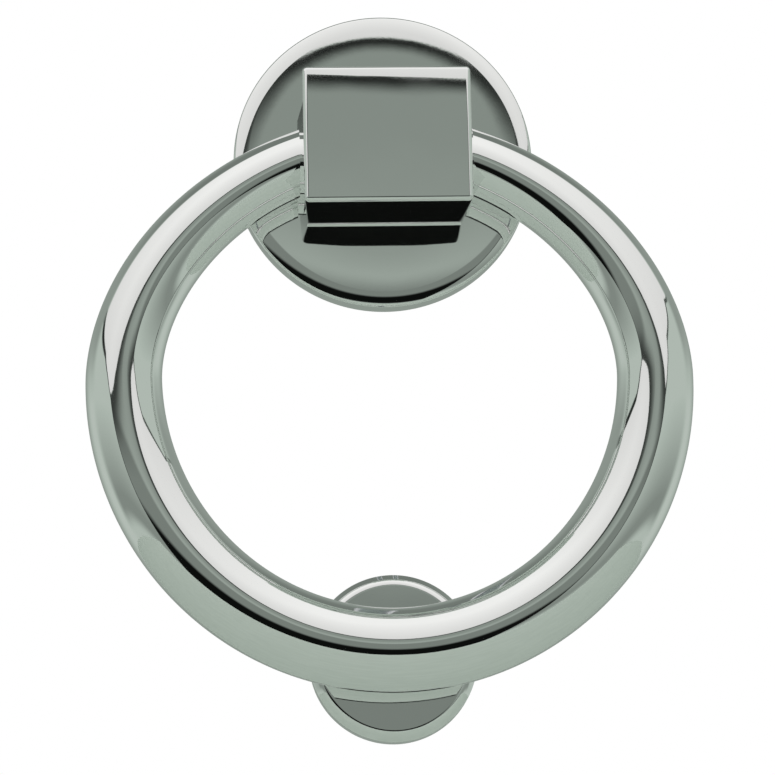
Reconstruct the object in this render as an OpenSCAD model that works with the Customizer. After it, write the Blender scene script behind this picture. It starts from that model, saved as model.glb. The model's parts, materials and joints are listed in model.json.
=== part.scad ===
// Ring door knocker: a round rose carries a hanger block, a heavy tapered ring swings in the block
// and falls against a separate round striker button.
// +Z up, millimetres. y = 0 is the door's face, the front faces -Y.
// The origin is on the door's face behind the block's centre.

/* [Rose] */
// diameter of the round rose
rose_d = 50; // [44:0.5:66]
// how far the rose's centre lies below the block's
rose_low = 0.4; // [0:0.1:1]
// how far the rose's face stands off the door
rose_t = 5; // [4.6:0.1:7]
// radius of the rose's rolled edge
rose_edge_r = 0.7; // [0.4:0.1:1.5]
// width of the band inside the rolled edge over which the flat face starts to fall away
rose_fall_w = 2.4; // [2:0.1:5]
// how far the face has fallen where the rolled edge takes over
rose_fall = 0.4; // [0.2:0.05:0.6]
// room left around and behind the nuts in the rose's hollow back
nut_room = 0.3; // [0.2:0.1:1]

/* [Hanger block] */
// width of the block's front face
block_w = 27.8; // [24:0.2:34]
// height of the block
block_h = 22.9; // [21:0.1:30]
// depth of the block, from the rose's face to its own front
block_d = 17; // [16:0.5:24]
// how much narrower the block is at the rose than in front
block_taper = 2; // [0:0.2:3]
// radius of the block's front and upright edges
block_edge_r = 0.8; // [0.4:0.1:1.2]
// radius of the block's edges along the rose
block_back_r = 1.4; // [0.4:0.1:1.6]

/* [Ring] */
// width over the ring's centreline
ring_w = 87.2; // [72:0.2:110]
// drop from the block's centre to the ring's lowest point on its centreline
ring_drop = 84; // [72:0.5:105]
// depth below the block's centre at which the ring is widest
ring_wide_at = 39.2; // [34:0.2:46]
// squareness of the ring's upper half, where 2 is an ellipse
ring_n = 1.85; // [1.7:0.05:2.2]
// diameter of the ring's stock at the bottom, its grip
ring_low_d = 13.8; // [10:0.1:14]
// diameter of the ring's stock at the sides
ring_side_d = 12.5; // [9:0.1:13]
// diameter of the ring's stock where it enters the block
ring_top_d = 10.5; // [9:0.1:11]
// how much smaller the straight journal inside the block is
journal_step = 0.3; // [0.1:0.1:1]
// radial clearance of the journal in its bearing
journal_gap = 0.08; // [0.04:0.01:0.1]
// gap between the ring's shoulders and the block's sides
shoulder_gap = 0.4; // [0.3:0.1:1]

/* [Striker] */
// diameter of the striker button
striker_d = 27.6; // [24:0.1:36]
// how far the striker's centre lies below the ring's lowest point on its centreline
striker_low = 0.2; // [0:0.1:1]
// how far the striker's face stands off the door
striker_t = 5.3; // [4.6:0.1:5.5]
// width of the striker's bevel
striker_bevel_w = 1.9; // [1:0.1:3]
// height of the striker's bevel
striker_bevel_h = 1.7; // [1:0.1:2.4]
// radius that rounds the striker's bevel into its face
striker_edge_r = 1.6; // [0.5:0.1:1.8]
// radius of the striker's back corner, along the door
striker_back_r = 0.5; // [0.2:0.1:0.8]

/* [Fixings] */
// gap between the hanging ring and the striker's face
rest_gap = 0.3; // [0.3:0.05:0.6]
// diameter of the studs' thick front ends, in the block, the rose and the striker
thread_d = 6; // [5:0.5:6.5]
// diameter of the studs behind, through the door
stud_d = 5; // [4:0.5:5]
// distance between the block's two studs
stud_pitch = 16; // [13:0.5:18]
// how far the studs stand out behind, to pass through the door
stud_reach = 50; // [20:1:70]
// depth the studs are screwed into the block
stud_grip = 10; // [8:0.5:13]
// depth the striker's stud is screwed in
striker_grip = 4; // [3.2:0.1:4]
// radial clearance of the studs in the rose's holes
stud_clear = 0.25; // [0.1:0.05:0.5]
// width across the nuts' flats
nut_af = 10; // [8.5:0.5:10.5]
// thickness of the nuts
nut_t = 2.6; // [2:0.1:2.7]
// outer diameter of the lock washers
washer_d = 11; // [9:0.1:11.5]
// thickness of the lock washers
washer_t = 0.6; // [0.4:0.1:0.8]
// number of notches between the teeth inside each lock washer
washer_notches = 8; // [6:1:9]
// diameter of those notches
notch_d = 1.4; // [0.8:0.1:1.6]

/* [Hidden] */
$fn = 96;
fall_sides = 720; // sides of the whole circle that the rose's fall is a short arc of
edge_sides = 32; // sides of the small rounded edges
fine = 20; // sides of the ring's stock
steps = 30; // sections in each quarter of the ring
bite = 0.4; // overlap that joins the journal to the ring
over = 1; // cut past a face
rose_r = rose_d / 2;
rose_flat_r = rose_r - rose_edge_r - rose_fall_w;
fall_h = rose_edge_r + rose_fall;
rose_wall = rose_t - fall_h;
// the fall's radius, tangent to the flat middle and to the rolled edge
fall_r = (pow(rose_fall_w, 2) + pow(fall_h, 2) - pow(rose_edge_r, 2)) / (2 * rose_fall);
block_front = rose_t + block_d;
journal_d = ring_top_d - journal_step;
bore_r = journal_d / 2 + journal_gap;
shoulder_x = block_w / 2 + shoulder_gap;
ring_r = ring_w / 2;
swing_y = striker_t + rest_gap + ring_low_d / 2; // the hinge line's distance off the door
swing_z = -ring_wide_at + ring_wide_at * pow(1 - pow(shoulder_x / ring_r, ring_n), 1 / ring_n);
land_top = block_h / 2;
stud_z = (land_top + swing_z + bore_r) / 2; // middle of the block's upper land
recess_r = norm([stud_pitch / 2, stud_z + rose_low]) + nut_af / cos(30) / 2 + nut_room;
recess_t = washer_t + nut_t + nut_room;
striker_z = -ring_drop - striker_low;

// turns a profile of (radius, stand-off) about the door's normal
module turned() {
  rotate([90, 0, 0]) rotate_extrude() children();
}

// a cylinder along the door's normal, between two stand-offs
module rod(d, from, to) {
  translate([0, -from, 0]) rotate([90, 0, 0]) cylinder(d = d, h = to - from);
}

// places its children on both of the block's studs
module at_studs() {
  for (side = [-1, 1]) translate([side * stud_pitch / 2, 0, stud_z]) children();
}

module rounded(w, h, r) {
  translate([r, 0]) square([w - 2 * r, h]);
  translate([0, r]) square([w, h - 2 * r]);
  for (x = [r, w - r], y = [r, h - r]) translate([x, y]) circle(r);
}

// the rose's half section: flat middle, gentle fall, rolled edge, upright wall
module rose_section() {
  intersection() {
    union() {
      square([rose_flat_r, rose_t]);
      intersection() {
        translate([rose_flat_r, rose_t - fall_r]) circle(fall_r, $fn = fall_sides);
        translate([rose_flat_r, 0]) square([rose_r - rose_flat_r, rose_t]);
      }
    }
    union() {
      square([rose_r - rose_edge_r, rose_t]);
      square([rose_r, rose_wall]);
      translate([rose_r - rose_edge_r, rose_wall]) circle(rose_edge_r);
    }
  }
}

module rose() color([0.8, 0.81, 0.82]) difference() {
  translate([0, 0, -rose_low]) turned() difference() {
    rose_section();
    translate([0, -over]) square([recess_r, recess_t + over]);
  }
  at_studs() rod(thread_d + 2 * stud_clear, -over, rose_t + over);
}

// the block's outline seen from above
module block_plan() {
  back = block_w - block_taper;
  offset(r = block_edge_r, $fn = edge_sides) offset(delta = -block_edge_r)
    polygon([[-back / 2, -rose_t], [back / 2, -rose_t],
      [block_w / 2, -block_front], [-block_w / 2, -block_front]]);
}

// the block's outline seen from the side, as (stand-off, height)
module block_side() {
  intersection() {
    translate([rose_t, -block_h / 2]) rounded(block_d * 2, block_h, block_back_r);
    translate([block_front - block_d * 2, -block_h / 2]) rounded(block_d * 2, block_h, block_edge_r);
  }
}

// a profile of (stand-off, height) drawn out along X to both sides
module along_x(w) {
  translate([-w / 2, 0, 0]) rotate([90, 0, 90]) linear_extrude(w) mirror([1, 0]) children();
}

module hanger_block() color([0.8, 0.81, 0.82]) difference() {
  intersection() {
    translate([0, 0, -block_h / 2]) linear_extrude(block_h) block_plan();
    along_x(block_w + over) block_side();
  }
  along_x(block_w + 2 * over) translate([swing_y, swing_z]) {
    circle(bore_r);
    translate([-swing_y, -bore_r]) square([swing_y, 2 * bore_r]);
  }
  at_studs() rod(thread_d, rose_t - over, rose_t + stud_grip + over);
}

// fills the slot behind the journal and closes its bearing
module bearing_keeper() color([0.78, 0.62, 0.3])
  along_x(block_w - block_taper - 2 * block_back_r) difference() {
    translate([rose_t, swing_z - bore_r + journal_gap])
      square([swing_y - rose_t, 2 * (bore_r - journal_gap)]);
    translate([swing_y, swing_z]) circle(bore_r);
  }

// the ring's centreline, as [x, z], from the right shoulder round the bottom to the left one
function upper(t) = [ring_r * pow(sin(t), 2 / ring_n),
  -ring_wide_at + ring_wide_at * pow(cos(t), 2 / ring_n)];
function lower(t) = [ring_r * cos(t), -ring_wide_at - (ring_drop - ring_wide_at) * sin(t)];
first_t = asin(pow(shoulder_x / ring_r, ring_n / 2));
half = concat([for (i = [0 : steps - 1]) upper(first_t + (90 - first_t) * i / steps)],
  [for (i = [0 : steps]) lower(90 * i / steps)]);
path = concat(half, [for (i = [len(half) - 2 : -1 : 0]) [-half[i][0], half[i][1]]]);
last = len(path) - 1;

// the stock's radius, a smooth curve through its three diameters by height
drop_low = ring_drop - ring_wide_at;
u_top = -(ring_wide_at + swing_z) / drop_low;
grow = (ring_low_d - ring_side_d) / 2;
shrink = (ring_top_d - ring_side_d) / 2;
bend = (shrink - u_top * grow) / (u_top * u_top - u_top);
function stock_r(z) = let (u = -(z + ring_wide_at) / drop_low)
  ring_side_d / 2 + (grow - bend) * u + bend * u * u;

function ahead(i) = path[min(i + 1, last)] - path[max(i - 1, 0)];
// across the stock in the ring's plane; the end sections lie flat along the block's sides
function across(i) = let (a = ahead(i), n = [a[1], -a[0]] / norm(a))
  i == 0 || i == last ? [0, 1] * sign(n[1]) / abs(n[1]) : n;
function section(i) = [for (k = [0 : fine - 1]) let (b = 360 * k / fine, r = stock_r(path[i][1]),
  n = across(i)) [path[i][0] + r * cos(b) * n[0], -swing_y + r * sin(b), path[i][1] + r * cos(b) * n[1]]];

module ring_body() {
  polyhedron(points = [for (i = [0 : last]) each section(i)],
    faces = concat([[for (k = [0 : fine - 1]) k]],
      [for (i = [0 : last - 1], k = [0 : fine - 1]) let (a = i * fine + k,
        b = i * fine + (k + 1) % fine) [a, a + fine, b + fine, b]],
      [[for (k = [fine - 1 : -1 : 0]) last * fine + k]]), convexity = 4);
}

module ring() color([0.82, 0.83, 0.84]) union() {
  ring_body();
  translate([-shoulder_x - bite, -swing_y, swing_z]) rotate([0, 90, 0])
    cylinder(d = journal_d, h = 2 * (shoulder_x + bite));
}

// a stepped stud, thin behind the door's face and thick in front of it
module stud(tip) {
  rod(stud_d, -stud_reach, over);
  rod(thread_d, 0, tip);
}

module hanger_studs() color([0.6, 0.6, 0.62]) at_studs() stud(rose_t + stud_grip);

module hanger_nuts() color([0.72, 0.66, 0.45]) at_studs() difference() {
  translate([0, -recess_t + washer_t, 0]) rotate([-90, 0, 0])
    cylinder(d = nut_af / cos(30), h = nut_t, $fn = 6);
  rod(thread_d, -over, rose_t);
}

// internal-tooth washers between the nuts and the rose's web
module lock_washers() color([0.5, 0.5, 0.52]) at_studs() difference() {
  rod(washer_d, recess_t - washer_t, recess_t);
  rod(thread_d + 2 * stud_clear, 0, rose_t);
  for (k = [0 : washer_notches - 1]) rotate([0, 360 * k / washer_notches, 0])
    translate([(thread_d + notch_d) / 2, 0, 0]) rod(notch_d, 0, rose_t);
}

// the striker's half section: upright wall, bevel, rounding, flat face
module striker_section() {
  r = striker_d / 2;
  tilt = atan(striker_bevel_h / striker_bevel_w);
  // how far from the sharp corner the rounding touches the face and the bevel
  reach = striker_edge_r * tan(tilt / 2);
  flat = r - striker_bevel_w - reach;
  difference() {
    union() {
      polygon([[0, 0], [r, 0], [r, striker_t - striker_bevel_h],
        [flat + reach * (1 + cos(tilt)), striker_t - reach * sin(tilt)],
        [flat, striker_t], [0, striker_t]]);
      translate([flat, striker_t - striker_edge_r]) circle(striker_edge_r);
    }
    translate([r - striker_back_r, -over]) square([striker_back_r + over, over + striker_back_r]);
  }
  translate([r - striker_back_r, striker_back_r]) circle(striker_back_r, $fn = edge_sides);
}

module striker() color([0.82, 0.83, 0.84]) translate([0, 0, striker_z]) difference() {
  turned() striker_section();
  rod(thread_d, -over, striker_grip);
}

module striker_stud() color([0.6, 0.6, 0.62]) translate([0, 0, striker_z]) stud(striker_grip);

rose();
hanger_block();
bearing_keeper();
ring();
hanger_studs();
hanger_nuts();
lock_washers();
striker();
striker_stud();
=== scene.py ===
import bpy
import json
import math
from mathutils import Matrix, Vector


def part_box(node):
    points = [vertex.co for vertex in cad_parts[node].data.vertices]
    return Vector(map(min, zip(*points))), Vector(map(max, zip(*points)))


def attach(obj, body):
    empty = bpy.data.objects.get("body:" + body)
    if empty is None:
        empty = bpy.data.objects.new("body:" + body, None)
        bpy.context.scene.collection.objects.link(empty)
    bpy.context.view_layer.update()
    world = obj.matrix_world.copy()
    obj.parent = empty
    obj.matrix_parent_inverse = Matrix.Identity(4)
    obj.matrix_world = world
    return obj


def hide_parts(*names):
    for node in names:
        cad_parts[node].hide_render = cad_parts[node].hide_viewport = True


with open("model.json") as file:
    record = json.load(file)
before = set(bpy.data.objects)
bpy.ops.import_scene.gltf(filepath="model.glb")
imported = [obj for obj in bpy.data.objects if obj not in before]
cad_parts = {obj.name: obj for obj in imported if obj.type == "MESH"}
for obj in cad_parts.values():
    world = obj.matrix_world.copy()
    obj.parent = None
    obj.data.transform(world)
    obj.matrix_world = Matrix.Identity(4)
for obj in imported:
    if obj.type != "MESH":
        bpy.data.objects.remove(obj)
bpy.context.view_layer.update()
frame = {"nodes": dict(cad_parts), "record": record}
mm = 0.001


# ---------- working in Blender ----------

def deselectAll():
    if bpy.context.object and bpy.context.object.mode != "OBJECT":
        bpy.ops.object.mode_set(mode="OBJECT")
    bpy.ops.object.select_all(action="DESELECT")


def makeActive(obj):
    deselectAll()
    obj.select_set(True)
    bpy.context.view_layer.objects.active = obj


def applyPlace(obj):
    makeActive(obj)
    bpy.ops.object.transform_apply(location=True, rotation=True, scale=True)


def applyModifier(obj, kind, **settings):
    makeActive(obj)
    modifier = obj.modifiers.new(kind.lower(), kind)
    for key, value in settings.items():
        setattr(modifier, key, value)
    bpy.ops.object.modifier_apply(modifier=modifier.name)


def selectVerts(obj, test):
    # leaves edit mode with only the vertices that pass the test selected
    bpy.ops.object.mode_set(mode="EDIT")
    bpy.ops.mesh.select_mode(type="VERT")
    bpy.ops.mesh.select_all(action="DESELECT")
    bpy.ops.object.mode_set(mode="OBJECT")
    for vert in obj.data.vertices:
        vert.select = bool(test(obj.matrix_world @ vert.co))
    bpy.ops.object.mode_set(mode="EDIT")


def selectEdges(obj, test):
    # leaves edit mode with only the edges whose two ends pass the test selected
    if bpy.context.mode != "EDIT_MESH":
        bpy.ops.object.mode_set(mode="EDIT")
    bpy.ops.mesh.select_mode(type="EDGE")
    bpy.ops.mesh.select_all(action="DESELECT")
    bpy.ops.object.mode_set(mode="OBJECT")
    points = obj.data.vertices
    for edge in obj.data.edges:
        edge.select = bool(test(points[edge.vertices[0]].co, points[edge.vertices[1]].co))
    bpy.ops.object.mode_set(mode="EDIT")


def tidyMesh(obj, angle=30):
    makeActive(obj)
    bpy.ops.object.mode_set(mode="EDIT")
    bpy.ops.mesh.select_all(action="SELECT")
    bpy.ops.mesh.remove_doubles(threshold=0.000002)
    bpy.ops.mesh.normals_make_consistent(inside=False)
    bpy.ops.object.mode_set(mode="OBJECT")
    bpy.ops.object.shade_smooth_by_angle(angle=math.radians(angle))


def spinProfile(name, profile, steps):
    # profile is (radius, stand-off) in mm, drawn as a line of edges and spun about the door's normal
    deselectAll()
    bpy.ops.mesh.primitive_plane_add(size=0.001, location=(0, 0, 0))
    obj = bpy.context.object
    obj.name = name
    bpy.ops.object.mode_set(mode="EDIT")
    bpy.ops.mesh.select_mode(type="VERT")
    bpy.ops.mesh.select_all(action="SELECT")
    bpy.ops.mesh.merge(type="CENTER")
    bpy.ops.transform.translate(value=(profile[0][0] * mm, -profile[0][1] * mm, 0))
    here = profile[0]
    for point in profile[1:]:
        step = ((point[0] - here[0]) * mm, -(point[1] - here[1]) * mm, 0)
        bpy.ops.mesh.extrude_vertices_move(TRANSFORM_OT_translate={"value": step})
        here = point
    bpy.ops.mesh.select_all(action="SELECT")
    bpy.ops.mesh.spin(steps=steps, angle=math.tau, center=(0, 0, 0), axis=(0, 1, 0))
    bpy.ops.object.mode_set(mode="OBJECT")
    tidyMesh(obj)
    applyModifier(obj, "WEIGHTED_NORMAL", keep_sharp=True, weight=100)
    return obj


def rollProfile(reach, standOff, rolls):
    # a flat face that rolls over to its wall: each roll is (radius, tilt in degrees at its end), or
    # ("straight", length); the face's own radius is what the rolls leave of the reach
    points = [(0.0, standOff)]
    tilt = 0.0
    for radius, end in rolls:
        x, y = points[-1]
        if radius == "straight":
            points.append((x + end * math.cos(tilt), y - end * math.sin(tilt)))
            continue
        last = math.radians(end)
        count = max(3, round((end - math.degrees(tilt)) / 3))
        for i in range(1, count + 1):
            turn = tilt + (last - tilt) * i / count
            points.append((x + radius * (math.sin(turn) - math.sin(tilt)),
                           y - radius * (math.cos(tilt) - math.cos(turn))))
        tilt = last
    flat = reach - points[-1][0]
    face = [(flat * i / 4, standOff) for i in range(4)]
    return face + [(x + flat, y) for x, y in points]


def cutWith(obj, cutter, operation="DIFFERENCE"):
    applyModifier(obj, "BOOLEAN", object=cutter, operation=operation, solver="EXACT")
    bpy.data.objects.remove(cutter)


def boxOf(node):
    # a node's lowest and highest corners, in mm
    low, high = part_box(node)
    return [value / mm for value in low], [value / mm for value in high]


def rodAlong(place, radius, near, far, sides=64):
    # a rod along the door's normal at (x, z), between two stand-offs, to cut or join with
    deselectAll()
    middle = -(near + far) / 2
    bpy.ops.mesh.primitive_cylinder_add(vertices=sides, radius=radius * mm, depth=(far - near) * mm,
                                        location=(place[0] * mm, middle * mm, place[1] * mm),
                                        rotation=(math.pi / 2, 0, 0))
    rod = bpy.context.object
    applyPlace(rod)
    return rod


def copyTo(obj, name, place):
    # a copy with its own mesh, moved by (x, z)
    makeActive(obj)
    bpy.ops.object.duplicate(linked=False)
    made = bpy.context.object
    made.name = name
    made.location = (place[0] * mm, 0, place[1] * mm)
    applyPlace(made)
    return made


studLow, studHigh = boxOf("hanger_studs")
studThick = studHigh[2] - studLow[2]
studHeight = (studHigh[2] + studLow[2]) / 2
studOut = studHigh[0] - studThick / 2
studPlaces = [(-studOut, studHeight), (studOut, studHeight)]
studFit = 0.02  # so a stud's thread never shares its hole's surface
hinge = [value / mm for value in frame["record"]["behaviour"]["joints"][0]["pos_m"]]


# ---------- shader sockets as numbers ----------

class Wire:
    def __init__(self, tree, value):
        self.tree = tree
        self.value = value

    def node(self, kind, settings=None, inputs=None, out=0):
        made = self.tree.nodes.new(kind)
        for key, value in (settings or {}).items():
            setattr(made, key, value)
        for key, value in (inputs or {}).items():
            if isinstance(value, Wire):
                self.tree.links.new(value.value, made.inputs[key])
            else:
                made.inputs[key].default_value = value
        return Wire(self.tree, made.outputs[out])

    def maths(self, operation, other=None, third=None, flip=False):
        first, second = (other, self) if flip else (self, other)
        inputs = {0: first}
        if second is not None:
            inputs[1] = second
        if third is not None:
            inputs[2] = third
        return self.node("ShaderNodeMath", {"operation": operation}, inputs)

    def __add__(self, other):
        return self.maths("ADD", other)

    __radd__ = __add__

    def __sub__(self, other):
        return self.maths("SUBTRACT", other)

    def __rsub__(self, other):
        return self.maths("SUBTRACT", other, flip=True)

    def __mul__(self, other):
        return self.maths("MULTIPLY", other)

    __rmul__ = __mul__

    def __truediv__(self, other):
        return self.maths("DIVIDE", other)

    def __rtruediv__(self, other):
        return self.maths("DIVIDE", other, flip=True)

    def atMost(self, other):
        return self.maths("MINIMUM", other)

    def rise(self, low, high):
        # 0 below low, 1 above high, smooth between
        inputs = {"Value": self, "From Min": low, "From Max": high, "To Min": 0.0, "To Max": 1.0}
        return self.node("ShaderNodeMapRange", {"interpolation_type": "SMOOTHSTEP"}, inputs)

    def ramp(self, low, high):
        # 0 below low, 1 above high, straight between
        return self.node("ShaderNodeMapRange", {}, {"Value": self, "From Min": low, "From Max": high})

    def between(self, low, high, soft):
        return self.rise(low - soft, low + soft) * (1 - self.rise(high - soft, high + soft))

    def blend(self, first, second):
        # self is how much of the second number shows
        return self * second + (1 - self) * first

    def mixColour(self, first, second):
        # self is how much of the second colour shows
        inputs = {0: self, 6: first, 7: second}
        return self.node("ShaderNodeMix", {"data_type": "RGBA"}, inputs, out=2)


def newMaterial(name):
    material = bpy.data.materials.new(name)
    material.use_nodes = True
    tree = material.node_tree
    tree.nodes.clear()
    output = tree.nodes.new("ShaderNodeOutputMaterial")
    return material, tree, output


def linear(red, green, blue):
    # an sRGB colour of 0 to 255 as a shader colour
    values = []
    for channel in (red, green, blue):
        x = channel / 255
        values.append(x / 12.92 if x <= 0.04045 else ((x + 0.055) / 1.055) ** 2.4)
    return (*values, 1.0)


# ---------- finishes ----------

polish = {
    "colour": (0.90, 0.905, 0.90, 1.0),
    "roughness": 0.03,  # mirror polish
    "handling": 0.03,  # extra roughness in faint wiped patches
    "waveSize": 90.0,  # broad waviness left by the polishing wheel, cycles per metre
    "waveDepth": 0.00002,
    "grainSize": 2600.0,
    "grainDepth": 0.0000004,
}


def chromeFinish(name, settings):
    material, tree, output = newMaterial(name)
    base = Wire(tree, None)
    place = base.node("ShaderNodeTexCoord", out="Object")
    wave = base.node("ShaderNodeTexNoise", {}, {"Vector": place, "Scale": settings["waveSize"], "Detail": 1.0})
    grain = base.node("ShaderNodeTexNoise", {}, {"Vector": place, "Scale": settings["grainSize"], "Detail": 3.0})
    patch = base.node("ShaderNodeTexNoise", {}, {"Vector": place, "Scale": 60.0, "Detail": 4.0})
    rough = patch.rise(0.5, 0.75) * settings["handling"] + settings["roughness"]
    broad = base.node("ShaderNodeBump", {}, {"Strength": 1.0, "Distance": settings["waveDepth"], "Height": wave})
    fine = base.node("ShaderNodeBump", {}, {
        "Strength": 1.0, "Distance": settings["grainDepth"], "Height": grain, "Normal": broad})
    shader = base.node("ShaderNodeBsdfPrincipled", {}, {
        "Base Color": settings["colour"], "Metallic": 1.0, "Roughness": rough, "Normal": fine})
    tree.links.new(shader.value, output.inputs["Surface"])
    return material


def platedFinish(name, low, high, roughness, scale, depth):
    # plain plated or machined metal: mottled colour, fine grain
    material, tree, output = newMaterial(name)
    base = Wire(tree, None)
    place = base.node("ShaderNodeTexCoord", out="Object")
    mottle = base.node("ShaderNodeTexNoise", {}, {"Vector": place, "Scale": scale, "Detail": 5.0})
    grain = base.node("ShaderNodeTexNoise", {}, {"Vector": place, "Scale": scale * 12, "Detail": 2.0})
    colour = mottle.rise(0.35, 0.7).mixColour(low, high)
    rough = mottle * 0.15 + roughness
    bump = base.node("ShaderNodeBump", {}, {"Strength": 1.0, "Distance": depth, "Height": grain})
    shader = base.node("ShaderNodeBsdfPrincipled", {}, {
        "Base Color": colour, "Metallic": 1.0, "Roughness": rough, "Normal": bump})
    tree.links.new(shader.value, output.inputs["Surface"])
    return material


chrome = chromeFinish("polishedChrome", polish)
bearingBrass = platedFinish("machinedBrass", (0.52, 0.37, 0.14, 1), (0.72, 0.55, 0.26, 1), 0.22, 300, 0.000004)
zincSteel = platedFinish("zincPlate", (0.62, 0.63, 0.66, 1), (0.78, 0.79, 0.82, 1), 0.22, 500, 0.000003)
springSteel = platedFinish("phosphatedSteel", (0.10, 0.10, 0.11, 1), (0.20, 0.20, 0.21, 1), 0.4, 700, 0.000004)
print("finishes made")


# ---------- rose ----------

rose = {
    "rolls": [(139.0, 2.65), (7.8, 18.5), (0.6, 90.0)],  # how the polished face rolls over its edge
    "backEdge": 0.25,
    "hollow": 16.9,  # radius of the hollow back
    "hollowEdge": 0.2,
    "studRoom": 0.25,
    "steps": 256,
}


def makeRose(size):
    low, high = boxOf("rose")
    radius = (high[0] - low[0]) / 2
    depth = -boxOf("lock_washers")[0][1]
    profile = rollProfile(radius, -low[1], size["rolls"])
    profile += [(radius, size["backEdge"]), (radius - size["backEdge"], 0)]
    profile += [(size["hollow"] + size["hollowEdge"], 0), (size["hollow"], size["hollowEdge"])]
    profile += [(size["hollow"], depth), (0, depth)]
    obj = spinProfile("rosePlate", profile, size["steps"])
    obj.location = (0, 0, (low[2] + high[2]) / 2 * mm)
    applyPlace(obj)
    for place in studPlaces:
        cutWith(obj, rodAlong(place, studThick / 2 + size["studRoom"], -1, -low[1] + 1))
    tidyMesh(obj)
    applyModifier(obj, "WEIGHTED_NORMAL", keep_sharp=True, weight=100)
    obj.data.materials.append(chrome)
    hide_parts("rose")
    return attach(obj, "fixed_parts")


makeRose(rose)
print("rose made")


# ---------- hanger block ----------

block = {
    "taper": 2.0,  # narrower at the rose by this much
    "edge": 0.8,  # radius of the front and upright edges
    "backEdge": 1.4,  # radius of the edges along the rose
    # the hand-polished front rolls back towards its top: each roll starts this far down and
    # reaches this many degrees where the next one, or the top, begins
    "crown": [(9.0, 2.4), (2.0, 7.0)],
    "crownRows": 12,
    "crownLean": -2.0,  # degrees that the roll is turned, so it reaches lower on the right
    "crownReach": 2.0,  # only what lies this close to the front is turned
    "bore": 5.18,
}


def makeBlock(size):
    low, high = boxOf("hanger_block")
    front, back, top = low[1], high[1], high[2]
    width = high[0] - low[0]
    middle = (front + back) / 2
    deselectAll()
    bpy.ops.mesh.primitive_cube_add(size=1, location=(0, middle * mm, 0))
    obj = bpy.context.object
    obj.name = "hangerBody"
    obj.scale = (width * mm, (back - front) * mm, 2 * top * mm)
    applyPlace(obj)
    # the back is narrower than the front
    selectVerts(obj, lambda co: co.y > middle * mm)
    bpy.ops.transform.resize(value=((width - size["taper"]) / width, 1, 1))
    # wide edges along the rose, above and below, then finer ones in front and down the corners
    selectEdges(obj, lambda a, b: min(a.y, b.y) > (back - 0.05) * mm and a.z * b.z > 0)
    bpy.ops.mesh.bevel(offset=size["backEdge"] * mm, segments=10, profile=0.5)
    corner = width / 2 - size["taper"]

    def fineEdge(a, b):
        inFront = max(a.y, b.y) < (front + 0.05) * mm
        alongSide = min(abs(a.x), abs(b.x)) > corner * mm and a.x * b.x > 0
        lengthwise = alongSide and abs(a.y - b.y) > 5 * mm
        return inFront or lengthwise

    selectEdges(obj, fineEdge)
    bpy.ops.mesh.bevel(offset=size["edge"] * mm, segments=8, profile=0.5)
    # cut a row across, turn what lies above it a little, and go on to the next
    centre = (0, middle * mm, 0)
    lean = math.radians(size["crownLean"])
    bpy.ops.mesh.select_all(action="SELECT")
    bpy.ops.transform.rotate(value=-lean, orient_axis="Y", center_override=centre)
    ends = [start for start, angle in size["crown"][1:]] + [0]
    tilt = 0
    for (start, angle), end in zip(size["crown"], ends):
        turn = math.radians(angle - tilt) / size["crownRows"]
        for i in range(size["crownRows"]):
            row = (top - start + (start - end) * i / size["crownRows"]) * mm
            bpy.ops.mesh.select_all(action="SELECT")
            bpy.ops.mesh.bisect(plane_co=(0, 0, row), plane_no=(0, 0, 1))
            selectVerts(obj, lambda co: co.z > row + 0.01 * mm and co.y < (front + size["crownReach"]) * mm)
            bpy.ops.transform.rotate(value=turn, orient_axis="X", center_override=(0, front * mm, row))
        tilt = angle
    bpy.ops.mesh.select_all(action="SELECT")
    bpy.ops.transform.rotate(value=lean, orient_axis="Y", center_override=centre)
    bpy.ops.object.mode_set(mode="OBJECT")
    # the bearing for the journal and the slot behind it, open to the rose
    boreAt = [value * mm for value in hinge]
    deselectAll()
    bpy.ops.mesh.primitive_cylinder_add(vertices=96, radius=size["bore"] * mm, depth=1.5 * width * mm,
                                        location=boreAt, rotation=(0, math.pi / 2, 0))
    cutWith(obj, bpy.context.object)
    deselectAll()
    bpy.ops.mesh.primitive_cube_add(size=1, location=(0, boreAt[1] / 2, boreAt[2]))
    slot = bpy.context.object
    slot.scale = (1.5 * width * mm, -boreAt[1], 2 * size["bore"] * mm)
    cutWith(obj, slot)
    for place in studPlaces:
        cutWith(obj, rodAlong(place, studThick / 2 + studFit, -1, 1 - studLow[1]))
    tidyMesh(obj, 25)
    applyModifier(obj, "WEIGHTED_NORMAL", keep_sharp=True, weight=80)
    obj.data.materials.append(chrome)
    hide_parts("hanger_block")
    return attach(obj, "fixed_parts")


makeBlock(block)
print("hanger block made")


# ---------- ring ----------

ringSize = {
    "wideAt": 39.2,  # how far below the block's centre it is widest
    "squareness": 1.85,
    "lowStock": 13.8,  # diameters of the stock
    "sideStock": 12.5,
    "topStock": 10.5,
    "journal": 10.2,
    "shoulder": 14.3,
    "margin": 0.02,  # kept inside the full width
    "points": 480,
    "around": 22,
}


# over the centreline, and down to its lowest point
ringLow, ringHigh = boxOf("ring")
ringSize["width"] = ringHigh[0] - ringLow[0] - ringSize["sideStock"] - ringSize["margin"]
ringSize["drop"] = -ringLow[2] - ringSize["lowStock"] / 2


def ringHeight(size, x):
    upper = 1 - (abs(x) / (size["width"] / 2)) ** size["squareness"]
    return -size["wideAt"] + size["wideAt"] * max(upper, 0) ** (1 / size["squareness"])


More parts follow.
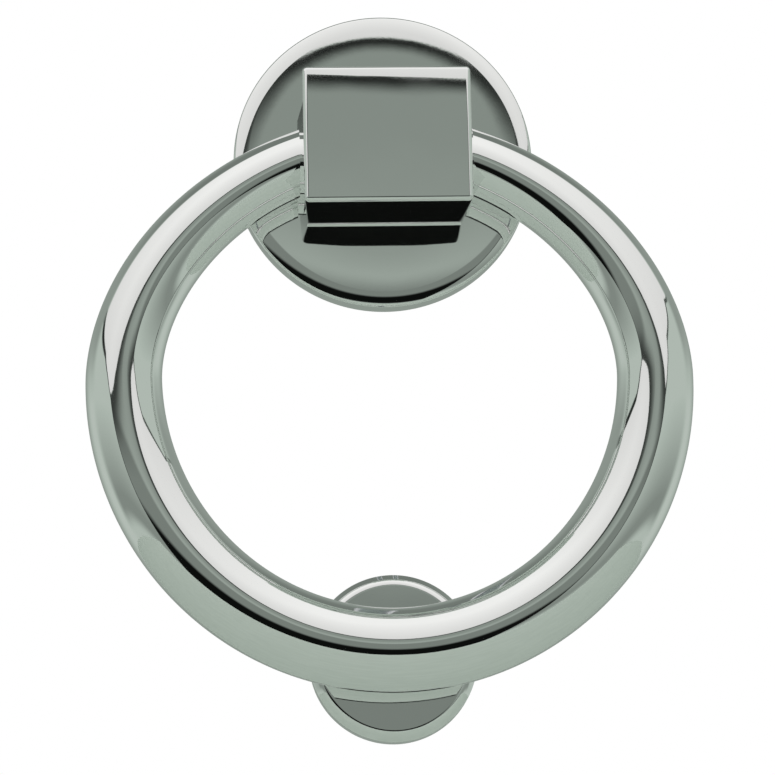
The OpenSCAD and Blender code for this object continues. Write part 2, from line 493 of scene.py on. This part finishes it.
def ringLine(size):
    # half of the centreline from the shoulder to the bottom, evenly spaced, as (x, z, stock radius)
    radius = size["width"] / 2
    power = size["squareness"]
    low = size["drop"] - size["wideAt"]
    first = math.asin((size["shoulder"] / radius) ** (power / 2))
    line = []
    for i in range(4000):
        angle = first + (math.pi / 2 - first) * i / 4000
        x = radius * math.sin(angle) ** (2 / power)
        line.append((x, -size["wideAt"] + size["wideAt"] * math.cos(angle) ** (2 / power)))
    for i in range(4001):
        angle = math.pi / 2 * i / 4000
        line.append((radius * math.cos(angle), -size["wideAt"] - low * math.sin(angle)))
    topU = (-size["wideAt"] - ringHeight(size, size["shoulder"])) / low
    grow = (size["lowStock"] - size["sideStock"]) / 2
    shrink = (size["topStock"] - size["sideStock"]) / 2
    bend = (shrink - topU * grow) / (topU * topU - topU)
    lengths = [0.0]
    for a, b in zip(line, line[1:]):
        lengths.append(lengths[-1] + math.dist(a, b))
    count = size["points"] // 2
    evened = []
    k = 0
    for i in range(count + 1):
        want = lengths[-1] * i / count
        while k < len(lengths) - 2 and lengths[k + 1] < want:
            k += 1
        part = (want - lengths[k]) / max(lengths[k + 1] - lengths[k], 1e-9)
        x = line[k][0] + (line[k + 1][0] - line[k][0]) * part
        z = line[k][1] + (line[k + 1][1] - line[k][1]) * part
        u = -(z + size["wideAt"]) / low
        evened.append((x, z, size["sideStock"] / 2 + (grow - bend) * u + bend * u * u))
    return evened


def makeRing(size):
    half = ringLine(size)
    # the line runs on past the shoulders, to be cut flat along the block's sides
    first, second = half[0], half[1]
    run = 4.0 / math.dist(first[:2], second[:2])
    lead = (first[0] + (first[0] - second[0]) * run, first[1] + (first[1] - second[1]) * run, first[2])
    half.insert(0, lead)
    whole = half + [(-x, z, r) for x, z, r in half[-2::-1]]
    deselectAll()
    bpy.ops.curve.primitive_bezier_circle_add(radius=0.04, location=(0, 0, 0))
    obj = bpy.context.object
    obj.name = "knockerRing"
    curve = obj.data
    curve.splines.clear()
    spline = curve.splines.new("POLY")
    spline.points.add(len(whole) - 1)
    for point, (x, z, r) in zip(spline.points, whole):
        point.co = (x * mm, hinge[1] * mm, z * mm, 1)
        point.radius = r
    curve.dimensions = "3D"
    curve.twist_mode = "MINIMUM"
    curve.bevel_depth = mm
    curve.bevel_resolution = size["around"]
    makeActive(obj)
    bpy.ops.object.convert(target="MESH")
    obj = bpy.context.object
    applyPlace(obj)
    bpy.ops.object.mode_set(mode="EDIT")
    for side in (1, -1):
        # only the end on this side, so the bottom of the ring stays whole
        selectVerts(obj, lambda co: co.x * side > 0 and co.z > -12 * mm)
        bpy.ops.mesh.bisect(plane_co=(side * size["shoulder"] * mm, 0, 0), plane_no=(side, 0, 0),
                            use_fill=True, clear_inner=True)
    bpy.ops.object.mode_set(mode="OBJECT")
    deselectAll()
    bpy.ops.mesh.primitive_cylinder_add(vertices=96, radius=size["journal"] / 2 * mm,
                                        depth=2 * (size["shoulder"] + 1) * mm,
                                        location=(0, hinge[1] * mm, first[1] * mm),
                                        rotation=(0, math.pi / 2, 0))
    cutWith(obj, bpy.context.object, "UNION")
    tidyMesh(obj, 40)
    obj.data.materials.append(chrome)
    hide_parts("ring")
    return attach(obj, "ring_body")


makeRing(ringSize)
print("ring made")


# ---------- striker ----------

strikerSize = {
    "rolls": [(1.6, 53.0), ("straight", 1.05), (0.3, 90.0)],  # a bevel with a well rounded front edge
    "backEdge": 0.5,
    "steps": 192,
}


def makeStriker(size):
    low, high = boxOf("striker")
    radius = (high[0] - low[0]) / 2
    height = (low[2] + high[2]) / 2
    profile = rollProfile(radius, -low[1], size["rolls"])
    for i in range(9):
        turn = math.radians(90 * i / 8)
        across = radius - size["backEdge"] * (1 - math.cos(turn))
        profile.append((across, size["backEdge"] * (1 - math.sin(turn))))
    profile.append((0, 0))
    obj = spinProfile("strikerButton", profile, size["steps"])
    obj.location = (0, 0, height * mm)
    applyPlace(obj)
    grip = -boxOf("striker_stud")[0][1]
    cutWith(obj, rodAlong((0, height), studThick / 2 + studFit, -1, grip + studFit))
    tidyMesh(obj)
    applyModifier(obj, "WEIGHTED_NORMAL", keep_sharp=True, weight=100)
    obj.data.materials.append(chrome)
    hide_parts("striker")
    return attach(obj, "fixed_parts")


makeStriker(strikerSize)
print("striker made")


# ---------- studs and nuts ----------

studSize = {
    "pitch": 0.8,
    "threadDepth": 0.45,
    "rear": 5.0,  # diameter behind the door's face
    "tip": 0.7,  # bevel at the far end
    "collarEdge": 0.35,  # bevels of the thick front end
    "around": 28,
}


def threadedRod(size, length):
    # one tooth drawn beside the axis, then swept along a screw line
    crest = size["rear"] / 2
    root = crest - size["threadDepth"]
    pitch = size["pitch"]
    tooth = [(root, 0), (root, 0.12), (crest, 0.46), (crest, 0.58), (root, 1)]
    deselectAll()
    bpy.ops.mesh.primitive_plane_add(size=0.001, location=(0, 0, 0))
    obj = bpy.context.object
    bpy.ops.object.mode_set(mode="EDIT")
    bpy.ops.mesh.select_mode(type="VERT")
    bpy.ops.mesh.select_all(action="SELECT")
    bpy.ops.mesh.merge(type="CENTER")
    bpy.ops.transform.translate(value=(root * mm, -3 * pitch * mm, 0))
    for (near, low), (far, high) in zip(tooth, tooth[1:]):
        step = ((far - near) * mm, (high - low) * pitch * mm, 0)
        bpy.ops.mesh.extrude_vertices_move(TRANSFORM_OT_translate={"value": step})
    bpy.ops.object.mode_set(mode="OBJECT")
    applyModifier(obj, "SCREW", axis="Y", screw_offset=pitch * mm, iterations=int(length / pitch) + 6,
                  steps=size["around"], render_steps=size["around"], use_merge_vertices=True,
                  merge_threshold=0.000002)
    bpy.ops.object.mode_set(mode="EDIT")
    bpy.ops.mesh.select_all(action="SELECT")
    bpy.ops.mesh.remove_doubles(threshold=0.000002)
    for place, outward in ((-1, -1), (length + 1, 1)):
        bpy.ops.mesh.select_all(action="SELECT")
        bpy.ops.mesh.bisect(plane_co=(0, place * mm, 0), plane_no=(0, outward, 0), use_fill=True,
                            clear_outer=True)
    bpy.ops.object.mode_set(mode="OBJECT")
    tidyMesh(obj, 30)
    return obj


def makeStud(name, size, grip, length):
    # threaded behind, a thicker bevelled end in front
    obj = threadedRod(size, length)
    obj.name = name
    wide = size["rear"] / 2 + 0.1
    blank = [(0, -length), (wide - size["tip"], -length), (wide, -length + size["tip"]), (wide, 2), (0, 2)]
    cutWith(obj, spinProfile("studBlank", blank, 48), "INTERSECT")
    thick = studThick / 2
    edge = size["collarEdge"]
    collar = [(0, 0), (thick - edge, 0), (thick, edge)]
    collar += [(thick, grip - edge), (thick - edge, grip), (0, grip)]
    cutWith(obj, spinProfile("studCollar", collar, 64), "UNION")
    tidyMesh(obj, 30)
    obj.data.materials.append(zincSteel)
    return obj


def finishPiece(obj, node):
    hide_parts(node)
    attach(obj, "fixed_parts")


stud = makeStud("studPattern", studSize, -studLow[1], studHigh[1])
for name, place in zip(("hangerStudLeft", "hangerStudRight"), studPlaces):
    finishPiece(copyTo(stud, name, place), "hanger_studs")
bpy.data.objects.remove(stud)
strikerStudLow, strikerStudHigh = boxOf("striker_stud")
stud = makeStud("studPattern", studSize, -strikerStudLow[1], strikerStudHigh[1])
strikerStudPlace = (0, (strikerStudLow[2] + strikerStudHigh[2]) / 2)
finishPiece(copyTo(stud, "strikerStudThreaded", strikerStudPlace), "striker_stud")
bpy.data.objects.remove(stud)

nutSize = {
    "bevel": 0.55,  # how deep the corners are turned off
    "bevelIn": 1.0,
}


def makeNut(size):
    low, high = boxOf("hanger_nuts")
    flats = high[2] - low[2]
    corner = flats / 2 / math.cos(math.radians(30))
    near, far = -high[1], -low[1]
    obj = rodAlong((0, 0), corner, near, far, 6)
    # corners to the sides, flats above and below
    bpy.ops.object.mode_set(mode="EDIT")
    bpy.ops.mesh.select_all(action="SELECT")
    bpy.ops.transform.rotate(value=math.radians(30), orient_axis="Y", center_override=(0, 0, 0))
    bpy.ops.object.mode_set(mode="OBJECT")
    wide = corner + 0.1
    bevel = size["bevel"]
    turned = [(0, near - 0.1), (wide - size["bevelIn"], near - 0.1), (wide, near + bevel)]
    turned += [(wide, far - bevel), (wide - size["bevelIn"], far + 0.1), (0, far + 0.1)]
    cutWith(obj, spinProfile("nutBlank", turned, 72), "INTERSECT")
    cutWith(obj, rodAlong((0, 0), studThick / 2 + studFit, near - 1, far + 1))
    tidyMesh(obj, 25)
    obj.data.materials.append(zincSteel)
    return obj


nut = makeNut(nutSize)
for name, place in zip(("hangerNutLeft", "hangerNutRight"), studPlaces):
    finishPiece(copyTo(nut, name, place), "hanger_nuts")
bpy.data.objects.remove(nut)
print("studs and nuts made")


# ---------- pieces kept from the frame ----------

finishes = {
    "bearing_keeper": bearingBrass,
    "lock_washers": springSteel,
}

for node, finish in finishes.items():
    kept = frame["nodes"][node]
    kept.data.materials.clear()
    kept.data.materials.append(finish)
print("kept pieces finished")


# ---------- studio ----------

def glow(green):
    # how bright a patch of the tent is for the shade of grey it gives in the chrome
    return round(linear(green, green, green)[0] / 0.9, 4)


studio = {
    "tentRadius": 3.0,
    "tentCentre": (0.0, 0.0, -0.04),
    "floorHeight": -0.32,
    "floorSize": 1.3,
    "floorColours": ((0.70, 0.79, 0.72, 1), (0.74, 0.83, 0.76, 1)),
    # the soft box overhead, in degrees up and round: its lower edge gables up in front and climbs
    # away along both sides
    "boxLow": 10.5,
    "boxGable": 10.5,
    "gableMiddle": 3.0,
    "gableEnds": (-46.0, 30.0),  # from its middle
    "boxSideClimbs": [(9.5, 35.0, 53.0), (11.0, 53.0, 93.0)],
    "boxRim": glow(214),
    "boxTop": glow(238),
    "boxBack": (96.0, 106.0),  # it ends this far round
    # the front opening under it and the dim room beyond
    "openingMiddle": -8.0,
    "roomHigh": glow(163),
    "roomLow": glow(124),
    "roomFoot": glow(13),
    "sideHigh": glow(184),
    "sideLow": glow(134),
    "sideFoot": glow(182),
    "rimLeft": glow(40),
    "rimRight": glow(80),
    "stand": glow(30),
    "behindSides": glow(187),
    "behind": glow(146),
    "behindHigh": glow(118),
    "behindLow": glow(160),
    "tint": (0.875, 1.0, 0.9, 1),  # the greys are a little green, the whites are neutral
}


def makeTent(size):
    deselectAll()
    bpy.ops.mesh.primitive_uv_sphere_add(segments=96, ring_count=64, radius=size["tentRadius"],
                                         location=size["tentCentre"])
    obj = bpy.context.object
    obj.name = "studioTent"
    material, tree, output = newMaterial("tentLight")
    base = Wire(tree, None)
    spot = base.node("ShaderNodeTexCoord", out="Object")
    x, y, z = [spot.node("ShaderNodeSeparateXYZ", {}, {0: spot}, out=i) for i in range(3)]
    degrees = 180 / math.pi
    up = (z / size["tentRadius"]).maths("ARCSINE") * degrees
    around = x.maths("ARCTAN2", y * -1.0) * degrees  # 0 straight in front, positive to the right
    off = around.maths("ABSOLUTE")
    left, right = size["gableEnds"]
    fromMiddle = around - size["gableMiddle"]
    gable = 1 - (fromMiddle / left).maths("MAXIMUM", fromMiddle / right).rise(0, 1)
    edge = gable * size["boxGable"] + size["boxLow"]
    aside = (around - size["openingMiddle"]).maths("ABSOLUTE")
    for climb, start, end in size["boxSideClimbs"]:
        edge = edge + aside.ramp(start, end) * climb
    above = up - edge
    # the room, with a shadow just under the box that deepens away from the middle
    room = up.rise(6.9, 10).blend(size["roomLow"], size["roomHigh"])
    flankward = fromMiddle.maths("ABSOLUTE").rise(3, 9)
    shadow = (above / (flankward * 4.5 + 2.0)).rise(-1.3, -0.2) * (0.95 - flankward * 0.12)
    room = room * (1 - shadow) * (1 - above.ramp(-12, -6) * 0.3)
    room = up.rise(-8.5, -3.5).blend(size["roomFoot"], room)
    room = up.rise(-24, -21).blend(size["sideFoot"], room)
    # the cloth sides, with a dark seam under the box
    sides = up.ramp(-12, 8).blend(size["sideLow"], size["sideHigh"])
    sides = up.rise(-21, -15).blend(size["sideFoot"], sides)
    seamWidth = (-1 * around).ramp(45, 90) * 2.0 + 1.0
    seam = (above / seamWidth).between(-1.0, 0.0, 0.2)
    sides = seam.blend(sides, around.rise(-20, 20).blend(size["rimLeft"], size["rimRight"]))
    # the opening leans in towards its foot, and has a thin dark edge down each side
    pastLeft = around + 39.8 + up * 0.32
    pastRight = 22.9 + up * 0.41 - around
    tint = (pastLeft.rise(-0.3, 0.3) * pastRight.rise(-0.3, 0.3)).blend(sides, room)
    frameLine = pastLeft.between(-0.2, 1.0, 0.3) + pastRight.between(-0.2, 1.0, 0.3)
    tint = (frameLine.atMost(1.0) * up.rise(-14, -8)).blend(tint, size["rimLeft"])
    # a dark stand low on the left
    stand = (up + 8.5 - around * 0.9).maths("ABSOLUTE")
    stand = (1 - stand.rise(5, 7)) * around.between(-44, -14, 2) * (1 - up.rise(-25, -23))
    tint = stand.blend(tint, size["stand"])
    flank = (1 - up.rise(5, 25)) * (1 - off.rise(120, 165))
    behind = flank.blend(size["behind"], size["behindSides"])
    behind = up.rise(-38, -20).blend(size["behindLow"], behind)
    behind = up.rise(30, 60).blend(behind, size["behindHigh"])
    tint = off.rise(92, 112).blend(tint, behind)
    white = above.rise(-0.15, 0.15) * (1 - off.rise(*size["boxBack"]))
    tint = white.blend(tint, above.ramp(0, 45).blend(size["boxRim"], size["boxTop"]))
    neutral = tint.rise(0.5, 0.7)
    shade = neutral.mixColour(size["tint"], (1, 1, 0.985, 1))
    colour = shade.node("ShaderNodeVectorMath", {"operation": "SCALE"}, {0: shade, "Scale": tint})
    seen = base.node("ShaderNodeLightPath", out="Is Camera Ray")
    colour = seen.mixColour(colour, (1, 1, 1, 1))
    light = base.node("ShaderNodeEmission", {}, {"Color": colour, "Strength": 1.0})
    tree.links.new(light.value, output.inputs["Surface"])
    obj.data.materials.append(material)
    bpy.ops.object.shade_smooth()


def makeFloor(size):
    deselectAll()
    bpy.ops.mesh.primitive_plane_add(size=size["floorSize"], location=(0, 0, size["floorHeight"]))
    obj = bpy.context.object
    obj.name = "studioFloor"
    applyPlace(obj)
    material, tree, output = newMaterial("paleFloor")
    base = Wire(tree, None)
    spot = base.node("ShaderNodeTexCoord", out="Object")
    fleck = base.node("ShaderNodeTexNoise", {}, {"Vector": spot, "Scale": 30.0, "Detail": 3.0})
    colour = fleck.rise(0.3, 0.7).mixColour(*size["floorColours"])
    shader = base.node("ShaderNodeBsdfPrincipled", {}, {"Base Color": colour, "Roughness": 0.8})
    tree.links.new(shader.value, output.inputs["Surface"])
    obj.data.materials.append(material)


view = {
    "place": (-0.03566, -0.68689, -0.17197),
    "aim": (0.00013, -0.00069, -0.03837),
    "roll": -1.249,  # degrees
    "lens": 195.06,
}


def makeCamera(size):
    deselectAll()
    bpy.ops.object.camera_add(location=size["place"])
    camera = bpy.context.object
    camera.data.lens = size["lens"]
    camera.data.sensor_width = 36
    camera.data.clip_start = 0.01
    look = (Vector(size["aim"]) - Vector(size["place"])).to_track_quat("-Z", "Y")
    camera.rotation_euler = look.to_euler()
    camera.rotation_euler.rotate_axis("Z", math.radians(size["roll"]))
    bpy.context.scene.camera = camera


def makeWorld():
    world = bpy.data.worlds.new("plainWorld")
    bpy.context.scene.world = world
    world.use_nodes = True
    world.node_tree.nodes["Background"].inputs["Color"].default_value = (1, 1, 1, 1)
    world.node_tree.nodes["Background"].inputs["Strength"].default_value = 1.0


makeTent(studio)
makeFloor(studio)
makeCamera(view)
makeWorld()
bpy.context.scene.view_settings.view_transform = "Standard"
print("studio made")
